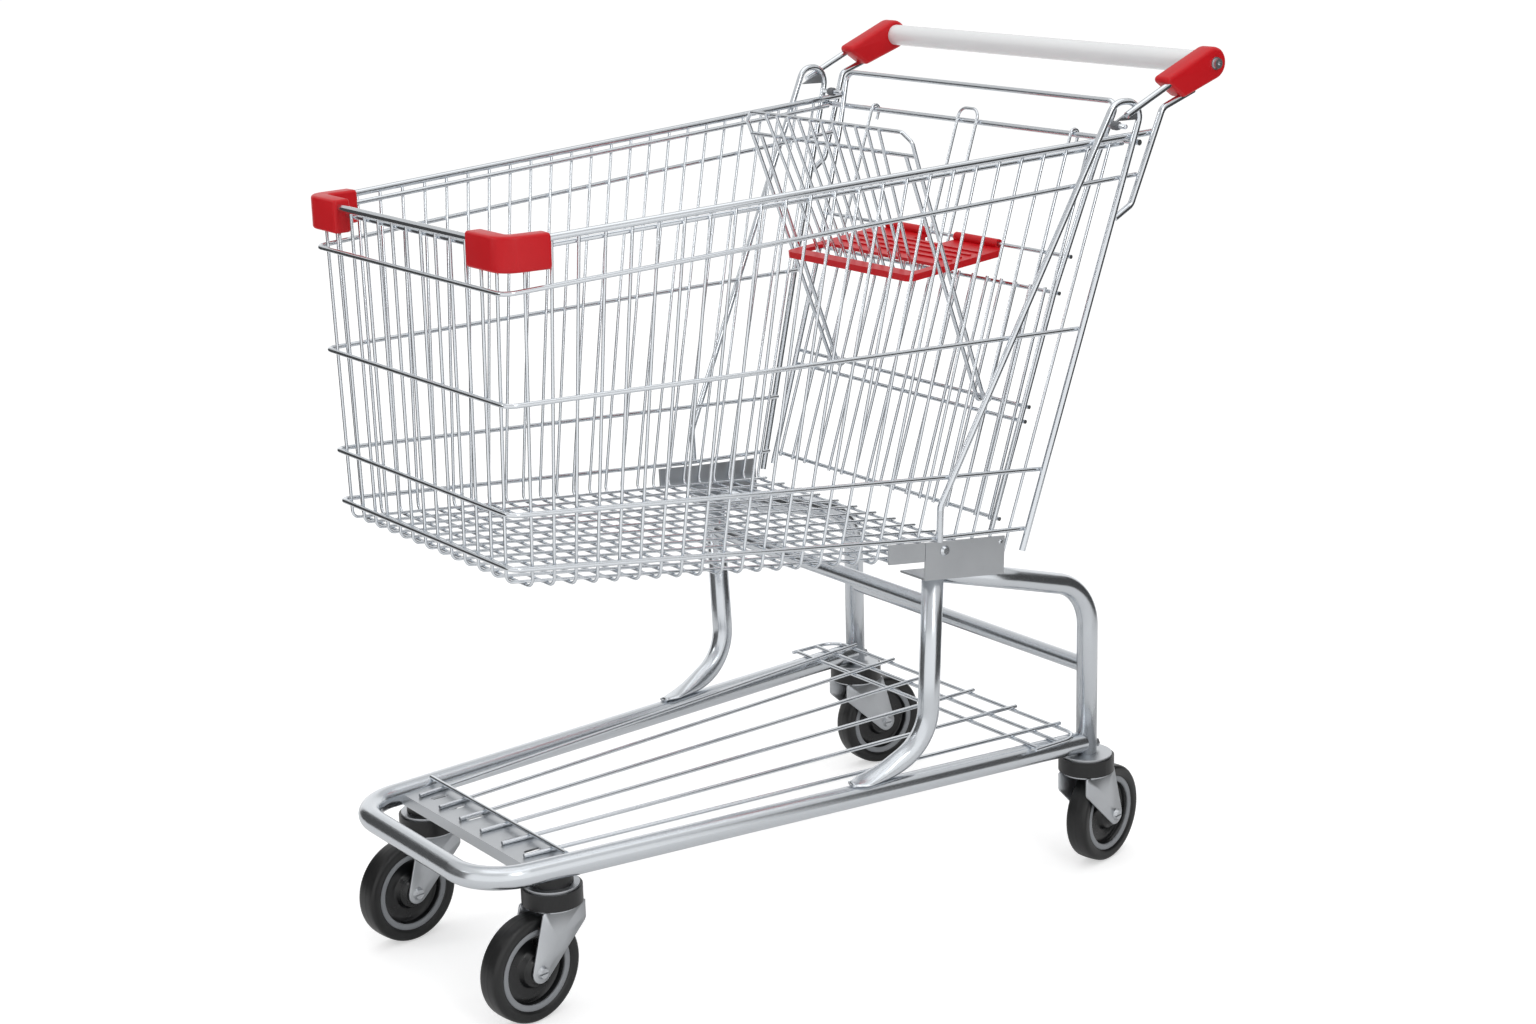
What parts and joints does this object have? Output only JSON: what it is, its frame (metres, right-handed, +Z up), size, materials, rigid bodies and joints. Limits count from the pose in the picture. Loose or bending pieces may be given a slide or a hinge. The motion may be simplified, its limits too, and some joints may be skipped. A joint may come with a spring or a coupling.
{
  "type": "shopping cart",
  "caption": "Wire shopping cart with a nesting rear gate, folding child seat, tube frame with a wire tray, red corner bumpers and swivel casters.",
  "frame": {"origin": "on the floor, under the middle of the cart's bounding box", "axes": "+Z up, -Y towards the nose, +Y towards the handle, +X to the left of the person pushing"},
  "size_m": [0.6262, 0.987, 1.0235],
  "materials": {
    "bright_wire": "bright zinc and clear lacquer on drawn steel wire",
    "zinc_tube": "satin zinc plating on steel tube",
    "zinc_sheet": "zinc plated pressed sheet and fixings",
    "red_plastic": "moulded, semi gloss",
    "white_plastic": "smooth extruded sleeve",
    "band_plastic": "moulded, fine grain",
    "tyre_rubber": "moulded rubber, matt",
    "wheel_plastic": "moulded wheel centre"
  },
  "bodies": {
    "cart": {"base_rail": "zinc_tube", "basket_hoops": "bright_wire", "basket_uprights": "bright_wire", "caster_bands": "band_plastic", "caster_discs": "zinc_sheet", "caster_kingpins": "zinc_sheet", "corner_bumpers": "red_plastic", "end_cap_left": "red_plastic", "end_cap_right": "red_plastic", "floor_cross_wires": "bright_wire", "floor_long_wires": "bright_wire", "front_caster_cups": "zinc_sheet", "front_caster_plate": "zinc_sheet", "gate_buffers": "band_plastic", "handle_bolts": "zinc_sheet", "handle_core": "zinc_sheet", "handle_rods": "bright_wire", "handle_sleeve": "white_plastic", "hinge_bar": "bright_wire", "loop_gussets": "zinc_sheet", "mid_post_left": "zinc_tube", "mid_post_right": "zinc_tube", "mounting_plates_front": "zinc_sheet", "mounting_plates_rear": "zinc_sheet", "plate_rivets": "zinc_sheet", "rear_crossbar": "zinc_tube", "rear_loop_left": "bright_wire", "rear_loop_right": "bright_wire", "rear_post_left": "zinc_tube", "rear_post_right": "zinc_tube", "rim_rod": "bright_wire", "stem_bolts": "zinc_sheet", "tray_cross_wires": "bright_wire", "tray_long_wires": "bright_wire", "tray_rear_loop": "bright_wire", "upper_cross_tube": "zinc_tube"},
    "gate": {"gate_frame": "bright_wire", "gate_cross_wires": "bright_wire", "gate_upright_wires": "bright_wire", "gate_hooks": "bright_wire"},
    "seat_panel": {"seat_panel_frame": "bright_wire", "seat_panel_wires": "bright_wire"},
    "seat_plate": {"seat_plate": "red_plastic"},
    "caster_front_left": {"fork_front_left": "zinc_sheet", "axle_bolt_front_left": "zinc_sheet"},
    "wheel_front_left": {"tyre_front_left": "tyre_rubber", "wheel_core_front_left": "wheel_plastic"},
    "caster_front_right": {"fork_front_right": "zinc_sheet", "axle_bolt_front_right": "zinc_sheet"},
    "wheel_front_right": {"tyre_front_right": "tyre_rubber", "wheel_core_front_right": "wheel_plastic"},
    "caster_rear_left": {"fork_rear_left": "zinc_sheet", "axle_bolt_rear_left": "zinc_sheet"},
    "wheel_rear_left": {"tyre_rear_left": "tyre_rubber", "wheel_core_rear_left": "wheel_plastic"},
    "caster_rear_right": {"fork_rear_right": "zinc_sheet", "axle_bolt_rear_right": "zinc_sheet"},
    "wheel_rear_right": {"tyre_rear_right": "tyre_rubber", "wheel_core_rear_right": "wheel_plastic"}
  },
  "joints": [
    {"name": "swivel_front_left", "type": "hinge", "parent": "cart", "child": "caster_front_left", "pos_m": [0.14, -0.3855, 0.131], "axis": [0, 0, 1], "continuous": true},
    {"name": "spin_front_left", "type": "hinge", "parent": "caster_front_left", "child": "wheel_front_left", "pos_m": [0.14515, -0.42214, 0.0625], "axis": [-0.9903, -0.1392, 0], "continuous": true},
    {"name": "swivel_front_right", "type": "hinge", "parent": "cart", "child": "caster_front_right", "pos_m": [-0.14, -0.3855, 0.131], "axis": [0, 0, 1], "continuous": true},
    {"name": "spin_front_right", "type": "hinge", "parent": "caster_front_right", "child": "wheel_front_right", "pos_m": [-0.13549, -0.42222, 0.0625], "axis": [-0.9925, -0.1219, 0], "continuous": true},
    {"name": "swivel_rear_left", "type": "hinge", "parent": "cart", "child": "caster_rear_left", "pos_m": [0.232, 0.3475, 0.131], "axis": [0, 0, 1], "continuous": true},
    {"name": "spin_rear_left", "type": "hinge", "parent": "caster_rear_left", "child": "wheel_rear_left", "pos_m": [0.22368, 0.38355, 0.0625], "axis": [0.9744, 0.225, 0], "continuous": true},
    {"name": "swivel_rear_right", "type": "hinge", "parent": "cart", "child": "caster_rear_right", "pos_m": [-0.232, 0.3475, 0.131], "axis": [0, 0, 1], "continuous": true},
    {"name": "spin_rear_right", "type": "hinge", "parent": "caster_rear_right", "child": "wheel_rear_right", "pos_m": [-0.23006, 0.38445, 0.0625], "axis": [0.9986, -0.0523, 0], "continuous": true},
    {"name": "gate_hinge", "type": "hinge", "parent": "cart", "child": "gate", "pos_m": [0, 0.36162, 0.92203], "axis": [-1, 0, 0], "range_deg": [0, 70]},
    {"name": "seat_panel_fold", "type": "hinge", "parent": "gate", "child": "seat_panel", "pos_m": [0, 0.25642, 0.61135], "axis": [-1, 0, 0], "range_deg": [0, 30]},
    {"name": "seat_plate_fold", "type": "hinge", "parent": "gate", "child": "seat_plate", "pos_m": [0, 0.3145, 0.78595], "axis": [-1, 0, 0], "range_deg": [0, 90.5]}
  ],
  "couplings": [
    {"joint": "seat_plate_fold", "follows": "seat_panel_fold", "ratio": 3}
  ]
}
